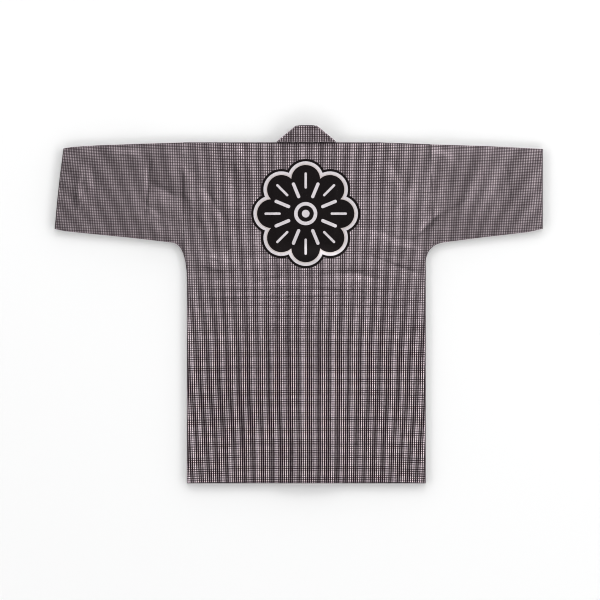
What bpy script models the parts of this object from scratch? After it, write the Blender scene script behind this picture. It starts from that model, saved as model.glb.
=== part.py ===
"""Happi coat laid flat on its front, with its back up.

The cloth lies in two layers. The fronts, the under half of each sleeve and the front bands of the
collar rest on the ground. The back and the upper half of each sleeve lie on them. Sizes are in
metres. A reach is measured outwards from the centre back, and a drop downwards from the shoulder
line, where the collar meets the back.
"""

import math
from collections import namedtuple

import bmesh
import bpy
from mathutils import Vector

COLLECTION = "happi_coat"

# Cloth
CLOTH = 0.0012
BAND = 0.0026
SEAM = 0.0003
CLOTH_COLOUR = (0.168, 0.133, 0.144, 1.0)
CLOTH_ROUGHNESS = 0.9

# Body
LENGTH = 0.886
HALF_BODY = 0.310

# Room that the turned lower edge of a sleeve needs at its armhole
TURN_ROOM = 0.0008

# Collar
NECK_REACH = 0.0757
BAND_REACH = 0.058
FREE_REACH = 0.006
LAPEL_DROP = 0.420
LAPEL_BEND = 1.5
RISE = 0.044
CROWN_REACH = 0.0252
CROWN_CORNER_DROP = 0.0021

# Step of the back panel down from the collar bands to the fronts
STEP_CLEAR = 0.002
STEP_RUN = 0.022

# Folds die away over this distance from the outline, and keep this share of their height at their ends
EDGE_FADE = 0.030
FOLD_END_SHARE = 0.35

# Bend of a bowed cuff along its sleeve
CUFF_BEND = 4

# Steps of the meshes
ARMHOLE_ROWS = 13
UNDERARM_ROWS = 4
SIDE_ROWS = 22
OUTER_COLUMNS = 10
UNDERARM_STATIONS = 4
SLEEVE_STATIONS = 12
LAYER_STEPS = 10
UNDER_STEPS = 2
TURN_STEPS = 6
LAPEL_STATIONS = 14
BAND_STATIONS = 4
NECK_STATIONS = 6
OUTLINE_STEPS = 6
BODY_ROWS = ARMHOLE_ROWS + UNDERARM_ROWS + SIDE_ROWS
MERGE_DISTANCE = 0.00001

EdgePoint = namedtuple("EdgePoint", "reach drop")
Fold = namedtuple("Fold", "from_x from_drop to_x to_drop height spread")
Side = namedtuple(
    "Side",
    "name sign armhole_reach seam_share curve_out curve_down top_edge under_edge cuff_bow",
)

# The left sleeve lies pulled out a little further than the right one.
LEFT = Side(
    name="left",
    sign=-1,
    armhole_reach=0.3193,
    seam_share=0.511,
    curve_out=0.0393,
    curve_down=0.1027,
    top_edge=(
        EdgePoint(reach=0.0, drop=0.0),
        EdgePoint(reach=0.320, drop=0.0),
        EdgePoint(reach=0.422, drop=0.0031),
        EdgePoint(reach=0.547, drop=0.0078),
        EdgePoint(reach=0.609, drop=0.0117),
        EdgePoint(reach=0.631, drop=0.0156),
    ),
    under_edge=(
        EdgePoint(reach=0.310, drop=0.2652),
        EdgePoint(reach=0.349, drop=0.2608),
        EdgePoint(reach=0.453, drop=0.2486),
        EdgePoint(reach=0.578, drop=0.2363),
        EdgePoint(reach=0.627, drop=0.2311),
        EdgePoint(reach=0.654, drop=0.2254),
    ),
    cuff_bow=0.0016,
)
RIGHT = Side(
    name="right",
    sign=1,
    armhole_reach=0.322,
    seam_share=0.371,
    curve_out=0.0533,
    curve_down=0.0476,
    top_edge=(
        EdgePoint(reach=0.0, drop=0.0),
        EdgePoint(reach=0.190, drop=0.0),
        EdgePoint(reach=0.325, drop=0.0050),
        EdgePoint(reach=0.470, drop=0.0095),
        EdgePoint(reach=0.614, drop=0.0169),
    ),
    under_edge=(
        EdgePoint(reach=0.310, drop=0.2657),
        EdgePoint(reach=0.363, drop=0.2595),
        EdgePoint(reach=0.452, drop=0.2480),
        EdgePoint(reach=0.576, drop=0.2337),
        EdgePoint(reach=0.614, drop=0.2249),
    ),
    cuff_bow=0.0,
)

# Crests of the largest folds, from one end to the other. x is positive on the wearer's right.
FOLDS = (
    Fold(from_x=-0.450, from_drop=0.131, to_x=-0.310, to_drop=0.201, height=0.0045, spread=0.045),
    Fold(from_x=-0.245, from_drop=0.060, to_x=-0.198, to_drop=0.185, height=0.0035, spread=0.045),
    Fold(from_x=-0.420, from_drop=0.030, to_x=-0.428, to_drop=0.215, height=0.0030, spread=0.030),
    Fold(from_x=-0.540, from_drop=0.060, to_x=-0.520, to_drop=0.200, height=0.0030, spread=0.050),
    Fold(from_x=-0.185, from_drop=0.365, to_x=-0.060, to_drop=0.300, height=0.0035, spread=0.045),
    Fold(from_x=-0.080, from_drop=0.300, to_x=0.130, to_drop=0.310, height=0.0045, spread=0.045),
    Fold(from_x=0.130, from_drop=0.310, to_x=0.290, to_drop=0.372, height=0.0040, spread=0.038),
    Fold(from_x=0.120, from_drop=0.245, to_x=0.308, to_drop=0.300, height=0.0035, spread=0.032),
    Fold(from_x=0.236, from_drop=0.220, to_x=0.340, to_drop=0.085, height=0.0045, spread=0.045),
    Fold(from_x=0.459, from_drop=0.055, to_x=0.472, to_drop=0.200, height=0.0040, spread=0.045),
    Fold(from_x=-0.300, from_drop=0.405, to_x=0.300, to_drop=0.400, height=0.0025, spread=0.030),
    Fold(from_x=-0.050, from_drop=0.440, to_x=-0.045, to_drop=0.660, height=0.0030, spread=0.055),
    Fold(from_x=0.065, from_drop=0.640, to_x=0.080, to_drop=0.850, height=0.0030, spread=0.050),
    Fold(from_x=-0.190, from_drop=0.500, to_x=-0.205, to_drop=0.640, height=0.0025, spread=0.060),
)


def mix(low, high, share):
    """Value that lies the given share of the way from low to high."""
    return low + (high - low) * share


def ease(share):
    """Smooth step from 0 to 1, held outside that range."""
    held = min(max(share, 0.0), 1.0)
    return held * held * (3.0 - 2.0 * held)


def through_stops(stops, counts, index):
    """Value at a step of a run that goes evenly from stop to stop, with a count of steps for each."""
    first = 0
    for low, high, count in zip(stops, stops[1:], counts):
        if index <= first + count:
            return mix(low, high, (index - first) / count)
        first += count
    return stops[-1]


def drop_along(edge, reach):
    """Drop of an edge at a reach, straight between its points and past its ends."""
    row = 0
    while row < len(edge) - 2 and reach > edge[row + 1].reach:
        row += 1
    low, high = edge[row], edge[row + 1]
    return mix(low.drop, high.drop, (reach - low.reach) / (high.reach - low.reach))


def underarm_point(side, share):
    """Point of the underarm curve, from the sleeve's underside at 0 to the side seam at 1."""
    corner_drop = side.under_edge[0].drop
    sleeve_drop = drop_along(side.under_edge, HALF_BODY + side.curve_out)
    side_drop = corner_drop + side.curve_down
    reach = HALF_BODY + side.curve_out * (1.0 - share) ** 2
    drop = mix(mix(sleeve_drop, corner_drop, share), mix(corner_drop, side_drop, share), share)
    return EdgePoint(reach, drop)


def armhole_end(side):
    """Lower end of the armhole seam, on the underarm curve."""
    return underarm_point(side, side.seam_share)


def underside_drop(side, reach):
    """Drop of the lower outline of a sleeve, with the underarm curve at its inner end."""
    past_corner = (reach - HALF_BODY) / side.curve_out
    if past_corner < 1.0:
        return underarm_point(side, 1.0 - math.sqrt(max(past_corner, 0.0))).drop
    return drop_along(side.under_edge, reach)


def body_edge(side, row):
    """Outline point of the body on one side: armhole seam, underarm curve, then side seam."""
    end = armhole_end(side)
    if row <= ARMHOLE_ROWS:
        share = row / ARMHOLE_ROWS
        return EdgePoint(mix(side.armhole_reach, end.reach, share), end.drop * share)
    past = row - ARMHOLE_ROWS
    if past <= UNDERARM_ROWS:
        return underarm_point(side, mix(side.seam_share, 1.0, past / UNDERARM_ROWS))
    share = (past - UNDERARM_ROWS) / SIDE_ROWS
    return EdgePoint(HALF_BODY, mix(underarm_point(side, 1.0).drop, LENGTH, share))


def shoulder_slope(side, reach, drop):
    """Extra drop below the sloping part of the shoulder, gone at the end of the armhole."""
    left = max(0.0, 1.0 - drop / armhole_end(side).drop)
    return left * (SEAM + drop_along(side.top_edge, reach))


def band_reach(drop):
    """Reach of the seam between the collar band and the front."""
    above = max(0.0, 1.0 - drop / LAPEL_DROP)
    return mix(BAND_REACH, NECK_REACH, above ** LAPEL_BEND)


def outline():
    """Points of the whole outline of the coat without its collar, once round."""
    points = []
    for side in (LEFT, RIGHT):
        half = [(0.0, 0.0)]
        half += [(point.reach, point.drop) for point in side.top_edge[1:]]
        half += [(point.reach, point.drop) for point in reversed(side.under_edge[1:])]
        curve = [underarm_point(side, step / OUTLINE_STEPS) for step in range(OUTLINE_STEPS + 1)]
        half += [(point.reach, point.drop) for point in curve]
        half += [(HALF_BODY, LENGTH), (0.0, LENGTH)]
        half = [Vector((side.sign * reach, drop)) for reach, drop in half]
        points += half if side is RIGHT else list(reversed(half))
    return points


OUTLINE = outline()


def segment_distance(point, start, end):
    """Distance from a point to a straight run, and the share of the run at its nearest point."""
    run = end - start
    if run.length_squared == 0.0:
        return (point - start).length, 0.0
    share = min(max((point - start).dot(run) / run.length_squared, 0.0), 1.0)
    return (point - start - run * share).length, share


def edge_distance(point):
    """Distance from a point to the outline, the neck apart."""
    runs = zip(OUTLINE, OUTLINE[1:])
    return min(segment_distance(point, start, end)[0] for start, end in runs)


def fold_lift(x, drop):
    """Height that the folds add to the upper layer at a point."""
    point = Vector((x, drop))
    lift = 0.0
    for fold in FOLDS:
        start = Vector((fold.from_x, fold.from_drop))
        end = Vector((fold.to_x, fold.to_drop))
        away, share = segment_distance(point, start, end)
        if away < fold.spread:
            across = 0.5 + 0.5 * math.cos(math.pi * away / fold.spread)
            along = mix(FOLD_END_SHARE, 1.0, math.sin(math.pi * share))
            lift = max(lift, fold.height * across * along)
    return lift * ease(edge_distance(point) / EDGE_FADE)


def upper_level(x, drop):
    """Height of the middle of the upper layer above the ground."""
    past_band = abs(x) - band_reach(drop) - STEP_CLEAR
    on_band = 1.0 - ease(past_band / (STEP_RUN - STEP_CLEAR))
    rest = SEAM + mix(CLOTH, BAND, on_band) + CLOTH / 2
    return rest + fold_lift(x, drop)


def placed_grid(name, columns, rows, place, parent, thickness):
    """Sheet of cloth made from a grid whose points place(column, row) puts, given its thickness."""
    shape = bmesh.new()
    bmesh.ops.create_grid(shape, x_segments=columns, y_segments=rows, size=0.5)
    for point in shape.verts:
        column = round((point.co.x + 0.5) * columns)
        row = round((0.5 - point.co.y) * rows)
        point.co = place(column, row)
    bmesh.ops.remove_doubles(shape, verts=shape.verts, dist=MERGE_DISTANCE)
    mesh = bpy.data.meshes.new(name)
    shape.to_mesh(mesh)
    shape.free()
    mesh.shade_smooth()
    sheet = bpy.data.objects.new(name, mesh)
    bpy.data.collections[COLLECTION].objects.link(sheet)
    sheet.parent = parent
    sheet.data.materials.append(cloth_material(name))
    wall = sheet.modifiers.new("wall", "SOLIDIFY")
    wall.thickness = thickness
    wall.offset = 0.0
    wall.use_even_offset = True
    return sheet


def cloth_material(name):
    """Dull cotton in the mean colour of the checked cloth."""
    material = bpy.data.materials.new(name + "_cotton")
    material.use_nodes = True
    shader = material.node_tree.nodes["Principled BSDF"]
    shader.inputs["Base Color"].default_value = CLOTH_COLOUR
    shader.inputs["Roughness"].default_value = CLOTH_ROUGHNESS
    shader.inputs["Metallic"].default_value = 0.0
    return material


def add_back(parent):
    """Back panel, which steps up over the collar bands and carries the folds."""
    half = 3 + OUTER_COLUMNS

    def place(column, row):
        side = LEFT if column < half else RIGHT
        edge = body_edge(side, row)
        band = band_reach(edge.drop)
        stops = (0.0, band / 2, band + STEP_CLEAR, band + STEP_RUN, edge.reach)
        reach = through_stops(stops, (1, 1, 1, OUTER_COLUMNS), abs(column - half))
        left_edge, right_edge = body_edge(LEFT, row), body_edge(RIGHT, row)
        x = side.sign * reach
        across = (x + left_edge.reach) / (left_edge.reach + right_edge.reach)
        drop = mix(left_edge.drop, right_edge.drop, across)
        drop += shoulder_slope(side, reach, drop)
        return Vector((x, -drop, upper_level(x, drop)))

    placed_grid("back", 2 * half, BODY_ROWS, place, parent, CLOTH)


def add_front(side, parent):
    """Front panel, flat on the ground between the collar band and the side seam."""
    def place(column, row):
        edge = body_edge(side, row)
        reach = edge.reach if column else band_reach(edge.drop) + SEAM
        drop = edge.drop + shoulder_slope(side, reach, edge.drop)
        return Vector((side.sign * reach, -drop, CLOTH / 2))

    placed_grid("front_" + side.name, 1, BODY_ROWS, place, parent, CLOTH)


def sleeve_section(side, station):
    """Middle of the sleeve's cloth, once round the flattened sleeve at one station."""
    end = armhole_end(side)
    curve_end = HALF_BODY + side.curve_out
    counts = (UNDERARM_STATIONS, SLEEVE_STATIONS)
    top_stops = (side.armhole_reach + SEAM, curve_end, side.top_edge[-1].reach)
    under_stops = (end.reach + TURN_ROOM, curve_end, side.under_edge[-1].reach)
    top_reach = through_stops(top_stops, counts, station)
    under_reach = through_stops(under_stops, counts, station)
    top = Vector((top_reach, drop_along(side.top_edge, top_reach)))
    under = Vector((under_reach, underside_drop(side, under_reach)))
    depth = (under - top).length
    down = (under - top) / depth
    bow = side.cuff_bow * (station / sum(counts)) ** CUFF_BEND
    turn = (2 * CLOTH + SEAM) / 2
    middle = turn - CLOTH / 2

    def put(along, level=None):
        plan = top + down * along
        x = side.sign * (plan.x + bow * math.sin(math.pi * along / depth))
        height = upper_level(x, plan.y) if level is None else level
        return Vector((x, -plan.y, height))

    ring = []
    for step in range(LAYER_STEPS + 1):
        ring.append(put(mix(turn, depth - turn, step / LAYER_STEPS)))
    for step in range(1, TURN_STEPS):
        angle = math.pi * step / TURN_STEPS
        ring.append(put(depth - turn + middle * math.sin(angle), turn + middle * math.cos(angle)))
    for step in range(UNDER_STEPS + 1):
        ring.append(put(mix(depth - turn, turn, step / UNDER_STEPS), CLOTH / 2))
    for step in range(1, TURN_STEPS):
        angle = math.pi * step / TURN_STEPS
        ring.append(put(turn - middle * math.sin(angle), turn - middle * math.cos(angle)))
    return ring


def add_sleeve(side, parent):
    """Sleeve as a flattened tube, folded at the top, sewn under the arm, open at both ends."""
    stations = UNDERARM_STATIONS + SLEEVE_STATIONS
    rings = [sleeve_section(side, station) for station in range(stations + 1)]
    around = len(rings[0])

    def place(column, row):
        return rings[column][row % around]

    placed_grid("sleeve_" + side.name, stations, around, place, parent, CLOTH)


def collar_stations():
    """Seam edge and free edge of the collar band, from the left hem round the neck to the right."""
    turn = (BAND + SEAM) / 2
    centre = BAND + SEAM / 2
    seam_end = Vector((-NECK_REACH, 0.0, 0.0))
    free_end = Vector((-CROWN_REACH, RISE - CROWN_CORNER_DROP, 0.0))
    run = (free_end - seam_end).normalized()
    out = Vector((-run.y, run.x, 0.0))
    half = []
    stops = (LENGTH, LAPEL_DROP, 0.0)
    for step in range(BAND_STATIONS + LAPEL_STATIONS):
        drop = through_stops(stops, (BAND_STATIONS, LAPEL_STATIONS), step)
        above = max(0.0, 1.0 - drop / LAPEL_DROP)
        free_x = mix(FREE_REACH, CROWN_REACH, above ** LAPEL_BEND)
        free_y = -drop + free_end.y * ease(above)
        seam_edge = Vector((-band_reach(drop), -drop, BAND / 2))
        half.append((seam_edge, Vector((-free_x, free_y, BAND / 2))))
    for step in range(TURN_STEPS + 1):
        angle = math.pi * step / TURN_STEPS
        shift = out * (turn * math.sin(angle))
        shift.z = centre - turn * math.cos(angle)
        half.append((seam_end + shift, free_end + shift))
    for step in range(1, NECK_STATIONS // 2):
        share = step / NECK_STATIONS
        seam_edge = Vector((mix(-NECK_REACH, NECK_REACH, share), 0.0, centre + turn))
        half.append((seam_edge, Vector((mix(-CROWN_REACH, CROWN_REACH, share), RISE, centre + turn))))
    middle = (Vector((0.0, 0.0, centre + turn)), Vector((0.0, RISE, centre + turn)))
    mirror = Vector((-1.0, 1.0, 1.0))
    other = [(seam_edge * mirror, free_edge * mirror) for seam_edge, free_edge in reversed(half)]
    return half + [middle] + other


def add_collar(parent):
    """Collar, one doubled band that stands above the shoulders and turns down under the back."""
    stations = collar_stations()

    def place(column, row):
        return stations[row][column]

    placed_grid("collar", 1, len(stations) - 1, place, parent, BAND)


def main():
    """Clear the scene and make the coat, centred over the origin."""
    for old in list(bpy.data.objects):
        bpy.data.objects.remove(old)
    collection = bpy.data.collections.new(COLLECTION)
    bpy.context.scene.collection.children.link(collection)
    neck = bpy.data.objects.new("centre_back_neck", None)
    left_reach = LEFT.under_edge[-1].reach
    right_reach = RIGHT.under_edge[-1].reach
    neck.location = ((left_reach - right_reach) / 2, (LENGTH - RISE) / 2, 0.0)
    collection.objects.link(neck)
    add_back(neck)
    for side in (LEFT, RIGHT):
        add_front(side, neck)
        add_sleeve(side, neck)
    add_collar(neck)
    bpy.context.view_layer.update()


main()
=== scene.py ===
"""Looks of a checked cotton happi coat that lies flat on its front, with its back up.

The pieces are thin shells on the solids of the frame. A reach is measured outwards from the centre
back, and a drop downwards from the shoulder line. Everything is in metres.
"""

import logging
import math
from dataclasses import dataclass
from enum import Enum
from typing import Iterable, Sequence

import bmesh
import bpy
import numpy as np
from mathutils import Matrix, Vector


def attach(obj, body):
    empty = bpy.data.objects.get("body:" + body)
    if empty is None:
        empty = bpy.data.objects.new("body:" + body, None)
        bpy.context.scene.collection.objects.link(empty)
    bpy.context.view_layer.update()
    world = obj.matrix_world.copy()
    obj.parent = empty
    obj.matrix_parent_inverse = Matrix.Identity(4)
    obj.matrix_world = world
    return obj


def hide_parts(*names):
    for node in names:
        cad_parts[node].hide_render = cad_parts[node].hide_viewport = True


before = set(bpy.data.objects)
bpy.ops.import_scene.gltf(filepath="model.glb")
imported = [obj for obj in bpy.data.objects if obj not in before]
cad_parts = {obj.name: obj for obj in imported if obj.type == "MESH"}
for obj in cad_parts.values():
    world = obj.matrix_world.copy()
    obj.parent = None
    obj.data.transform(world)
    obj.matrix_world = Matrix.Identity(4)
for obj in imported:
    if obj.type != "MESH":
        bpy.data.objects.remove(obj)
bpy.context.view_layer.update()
LOG = logging.getLogger("happi")
UV_NAME = "cloth"
# Name of the attribute that holds each point's share of worn edge and painted edge shade.
EDGE_NAME = "edge_wear_and_shade"

# Keeps a run without length from dividing by zero.
TINY = 1e-12

Array = np.ndarray
Colour = tuple[float, float, float, float]
Pair = tuple[float, float]


class Hand(Enum):
    """The wearer's left or right, which is also the sign of x there."""

    LEFT = -1
    RIGHT = 1


@dataclass(frozen=True)
class EdgePoint:
    """One point of an outline."""

    reach: float
    drop: float


@dataclass(frozen=True)
class Crease:
    """A soft ridge, or a trough where its height is negative."""

    from_x: float
    from_drop: float
    to_x: float
    to_drop: float
    height: float
    spread: float


@dataclass(frozen=True)
class Ripple:
    """A wave over the coat, whose crests may be wavy themselves."""

    size: float
    by_x: float
    by_drop: float
    bend: float = 0.0
    bend_by_x: float = 0.0
    bend_by_drop: float = 0.0
    start: float = 0.0

    def at(self, x: Array, drop: Array) -> Array:
        """Height of the wave at points."""
        bend = self.bend * np.sin(self.bend_by_x * x + self.bend_by_drop * drop)
        return self.size * np.sin(self.by_x * x + self.by_drop * drop + bend + self.start)


def mix(low: Array | float, high: Array | float, share: Array | float) -> Array | float:
    """Value that lies the given share of the way from low to high."""
    return low + (high - low) * share


def ease(share: Array) -> Array:
    """Smooth step from 0 to 1, held outside that range."""
    held = np.clip(share, 0.0, 1.0)
    return held * held * (3.0 - 2.0 * held)


def run_distance(x: Array, y: Array, start: Sequence[float], end: Sequence[float]) -> tuple[Array, Array]:
    """Distance of points from a straight run.

    Args:
        x: First coordinates of the points.
        y: Second coordinates of the points.
        start: Where the run starts.
        end: Where the run ends.

    Returns:
        The distances, and the share of the run at each nearest point.
    """
    run_x, run_y = end[0] - start[0], end[1] - start[1]
    squared = max(run_x * run_x + run_y * run_y, TINY)
    share = np.clip(((x - start[0]) * run_x + (y - start[1]) * run_y) / squared, 0.0, 1.0)
    return np.hypot(x - start[0] - run_x * share, y - start[1] - run_y * share), share


@dataclass(frozen=True)
class SideCut:
    """Outline of one side of the coat as it lies."""

    hand: Hand
    armhole_reach: float
    seam_share: float
    curve_out: float
    curve_down: float
    top_edge: tuple[EdgePoint, ...]
    under_edge: tuple[EdgePoint, ...]
    cuff_bow: float

    @property
    def sign(self) -> int:
        """Sign of x on this side."""
        return self.hand.value

    @property
    def word(self) -> str:
        """This side's name in the names of pieces."""
        return self.hand.name.lower()

    def edge_drop(self, edge: tuple[EdgePoint, ...], reach: Array) -> Array:
        """Drop of an edge at given reaches."""
        return np.interp(reach, [point.reach for point in edge], [point.drop for point in edge])

    def curve_drops(self) -> tuple[float, float, float]:
        """Drops of the underarm curve's start, corner and end.

        Returns:
            The three drops.
        """
        start = float(self.edge_drop(self.under_edge, Body.HALF + self.curve_out))
        corner = self.under_edge[0].drop
        return start, corner, corner + self.curve_down

    def underarm(self, share: Array) -> tuple[Array, Array]:
        """Reach and drop of the underarm curve at shares of its length.

        Args:
            share: Shares of the curve's length, from the sleeve to the side seam.

        Returns:
            The reaches and the drops.
        """
        start, corner, end = self.curve_drops()
        reach = Body.HALF + self.curve_out * (1.0 - share) ** 2
        return reach, mix(mix(start, corner, share), mix(corner, end, share), share)

    def armhole_end(self) -> tuple[float, float]:
        """Reach and drop of the armhole seam's lower end."""
        reach, drop = self.underarm(np.array(self.seam_share))
        return float(reach), float(drop)

    def underside(self, reach: Array) -> Array:
        """Drop of the sleeve's lower outline, with the underarm curve at its inner end.

        Args:
            reach: Distances outwards from the centre back.

        Returns:
            The drop at each reach.
        """
        past_corner = np.clip((reach - Body.HALF) / self.curve_out, 0.0, 1.0)
        on_curve = self.underarm(1.0 - np.sqrt(past_corner))[1]
        return np.where(past_corner < 1.0, on_curve, self.edge_drop(self.under_edge, reach))

    def body_reach(self, drop: Array) -> Array:
        """Reach of the body's outline at given drops: armhole seam, underarm curve, side seam.

        Args:
            drop: Drops from the shoulder line.

        Returns:
            The reach at each drop.
        """
        end_reach, end_drop = self.armhole_end()
        start, corner, finish = self.curve_drops()
        square, line = start - 2.0 * corner + finish, 2.0 * (corner - start)
        inside = np.maximum(line * line + 4.0 * square * (drop - start), 0.0)
        share = np.clip((np.sqrt(inside) - line) / (2.0 * square), 0.0, 1.0)
        seam = mix(self.armhole_reach, end_reach, np.clip(drop / end_drop, 0.0, 1.0))
        return np.where(drop < end_drop, seam, self.underarm(share)[0])

    def shoulder_slope(self, reach: Array, drop: Array) -> Array:
        """Extra drop under the sloping shoulder, gone at the end of the armhole."""
        left = np.clip(1.0 - drop / self.armhole_end()[1], 0.0, 1.0)
        return left * (Cloth.SEAM + self.edge_drop(self.top_edge, reach))


class Cloth:
    """Thicknesses of the layers in the frame, and of the shells made on them."""

    WALL = 0.0012
    BAND = 0.0026
    SEAM = 0.0003
    SHELL = 0.0009
    CLEAR = 0.0002
    LOWER_REST = CLEAR + SHELL / 2
    UPPER_REST = WALL + SEAM + WALL / 2
    TURN = (2 * WALL + SEAM) / 2


class Body:
    """Sizes of the body and the collar."""

    HALF = 0.310
    LENGTH = 0.886
    NECK_REACH = 0.0757
    BAND_REACH = 0.058
    FREE_REACH = 0.006
    LAPEL_DROP = 0.420
    LAPEL_BEND = 1.5
    RISE = 0.044
    CROWN_REACH = 0.0252
    CORNER_DROP = 0.0021
    STEP_CLEAR = 0.002
    STEP_RUN = 0.022


LEFT = SideCut(
    hand=Hand.LEFT,
    armhole_reach=0.3193,
    seam_share=0.511,
    curve_out=0.0393,
    curve_down=0.1027,
    top_edge=(
        EdgePoint(0.0, 0.0),
        EdgePoint(0.320, 0.0),
        EdgePoint(0.422, 0.0031),
        EdgePoint(0.547, 0.0078),
        EdgePoint(0.609, 0.0117),
        EdgePoint(0.631, 0.0156),
    ),
    under_edge=(
        EdgePoint(0.310, 0.2652),
        EdgePoint(0.349, 0.2608),
        EdgePoint(0.453, 0.2486),
        EdgePoint(0.578, 0.2363),
        EdgePoint(0.627, 0.2311),
        EdgePoint(0.654, 0.2254),
    ),
    cuff_bow=0.0016,
)
RIGHT = SideCut(
    hand=Hand.RIGHT,
    armhole_reach=0.322,
    seam_share=0.371,
    curve_out=0.0533,
    curve_down=0.0476,
    top_edge=(
        EdgePoint(0.0, 0.0),
        EdgePoint(0.190, 0.0),
        EdgePoint(0.325, 0.0050),
        EdgePoint(0.470, 0.0095),
        EdgePoint(0.614, 0.0169),
    ),
    under_edge=(
        EdgePoint(0.310, 0.2657),
        EdgePoint(0.363, 0.2595),
        EdgePoint(0.452, 0.2480),
        EdgePoint(0.576, 0.2337),
        EdgePoint(0.614, 0.2249),
    ),
    cuff_bow=0.0,
)
SIDES = (LEFT, RIGHT)
NECK_X = (LEFT.under_edge[-1].reach - RIGHT.under_edge[-1].reach) / 2
NECK_Y = (Body.LENGTH - Body.RISE) / 2


def band_reach(drop: Array) -> Array:
    """Reach of the seam between a front and the collar band."""
    above = np.clip(1.0 - drop / Body.LAPEL_DROP, 0.0, 1.0)
    return mix(Body.BAND_REACH, Body.NECK_REACH, above ** Body.LAPEL_BEND)


@dataclass(frozen=True)
class Relief:
    """Heights of the two layers: large folds, small creases and a soft unevenness."""

    folds: tuple[Crease, ...]
    ridges: tuple[Crease, ...]
    creases: tuple[Crease, ...]
    ripples: tuple[Ripple, ...]
    edge_fade: float = 0.030
    end_share: float = 0.35
    blend_power: float = 3.0
    puff: float = 0.0011
    ripple: float = 0.00028
    lower_share: float = 0.30
    curve_points: int = 9

    def outline(self) -> list[Pair]:
        """Points of the whole outline without the collar, once round.

        Returns:
            The points as x and drop.
        """
        points: list[Pair] = []
        for side in SIDES:
            half = [(0.0, 0.0)] + [(p.reach, p.drop) for p in side.top_edge[1:]]
            half += [(p.reach, p.drop) for p in reversed(side.under_edge[1:])]
            reaches, drops = side.underarm(np.linspace(0.0, 1.0, self.curve_points))
            half += list(zip(reaches.tolist(), drops.tolist()))
            half += [(Body.HALF, Body.LENGTH), (0.0, Body.LENGTH)]
            half = [(side.sign * reach, drop) for reach, drop in half]
            points += half if side.hand is Hand.RIGHT else half[::-1]
        return points

    def edge_distance(self, x: Array, drop: Array) -> Array:
        """Distance from points to the outline of the coat.

        Args:
            x: Distances of the points from the centre back.
            drop: Their drops from the shoulder line.

        Returns:
            The distance of each point.
        """
        points = self.outline()
        nearest = np.full(np.shape(x), 1.0)
        for start, end in zip(points, points[1:]):
            nearest = np.minimum(nearest, run_distance(x, drop, start, end)[0])
        return nearest

    def crest(self, crease: Crease, x: Array, drop: Array) -> Array:
        """Height that one crease adds at points, soft across and tapered along.

        Args:
            crease: The crease.
            x: Distances of the points from the centre back.
            drop: Their drops from the shoulder line.

        Returns:
            The height at each point.
        """
        start, end = (crease.from_x, crease.from_drop), (crease.to_x, crease.to_drop)
        away, share = run_distance(x, drop, start, end)
        across = 0.5 + 0.5 * np.cos(np.pi * np.minimum(away / crease.spread, 1.0))
        return crease.height * across * mix(self.end_share, 1.0, np.sin(np.pi * share))

    def lift(self, x: Array, drop: Array) -> Array:
        """Height of the folds, the creases and the unevenness over a smooth layer.

        Args:
            x: Distances of the points from the centre back.
            drop: Their drops from the shoulder line.

        Returns:
            The height at each point, which fades out towards the outline.
        """
        powers = sum(self.crest(fold, x, drop) ** self.blend_power for fold in self.folds + self.ridges)
        raised = powers ** (1.0 / self.blend_power)
        small = sum(self.crest(crease, x, drop) for crease in self.creases)
        uneven = sum(ripple.at(x, drop) for ripple in self.ripples)
        whole = raised + np.maximum(self.puff + small + self.ripple * uneven, -raised)
        return whole * ease(self.edge_distance(x, drop) / self.edge_fade)

    def upper(self, x: Array, drop: Array) -> Array:
        """Height of the middle of the upper layer above the surface.

        Args:
            x: Distances of the points from the centre back.
            drop: Their drops from the shoulder line.

        Returns:
            The height at each point, over the collar band too.
        """
        past_band = np.abs(x) - band_reach(drop) - Body.STEP_CLEAR
        on_band = 1.0 - ease(past_band / (Body.STEP_RUN - Body.STEP_CLEAR))
        return Cloth.UPPER_REST + on_band * (Cloth.BAND - Cloth.WALL) + self.lift(x, drop)

    def lower(self, x: Array, drop: Array) -> Array:
        """Height of the middle of the lower layer, whose folds are shallow."""
        return Cloth.LOWER_REST + self.lower_share * self.lift(x, drop)


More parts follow.
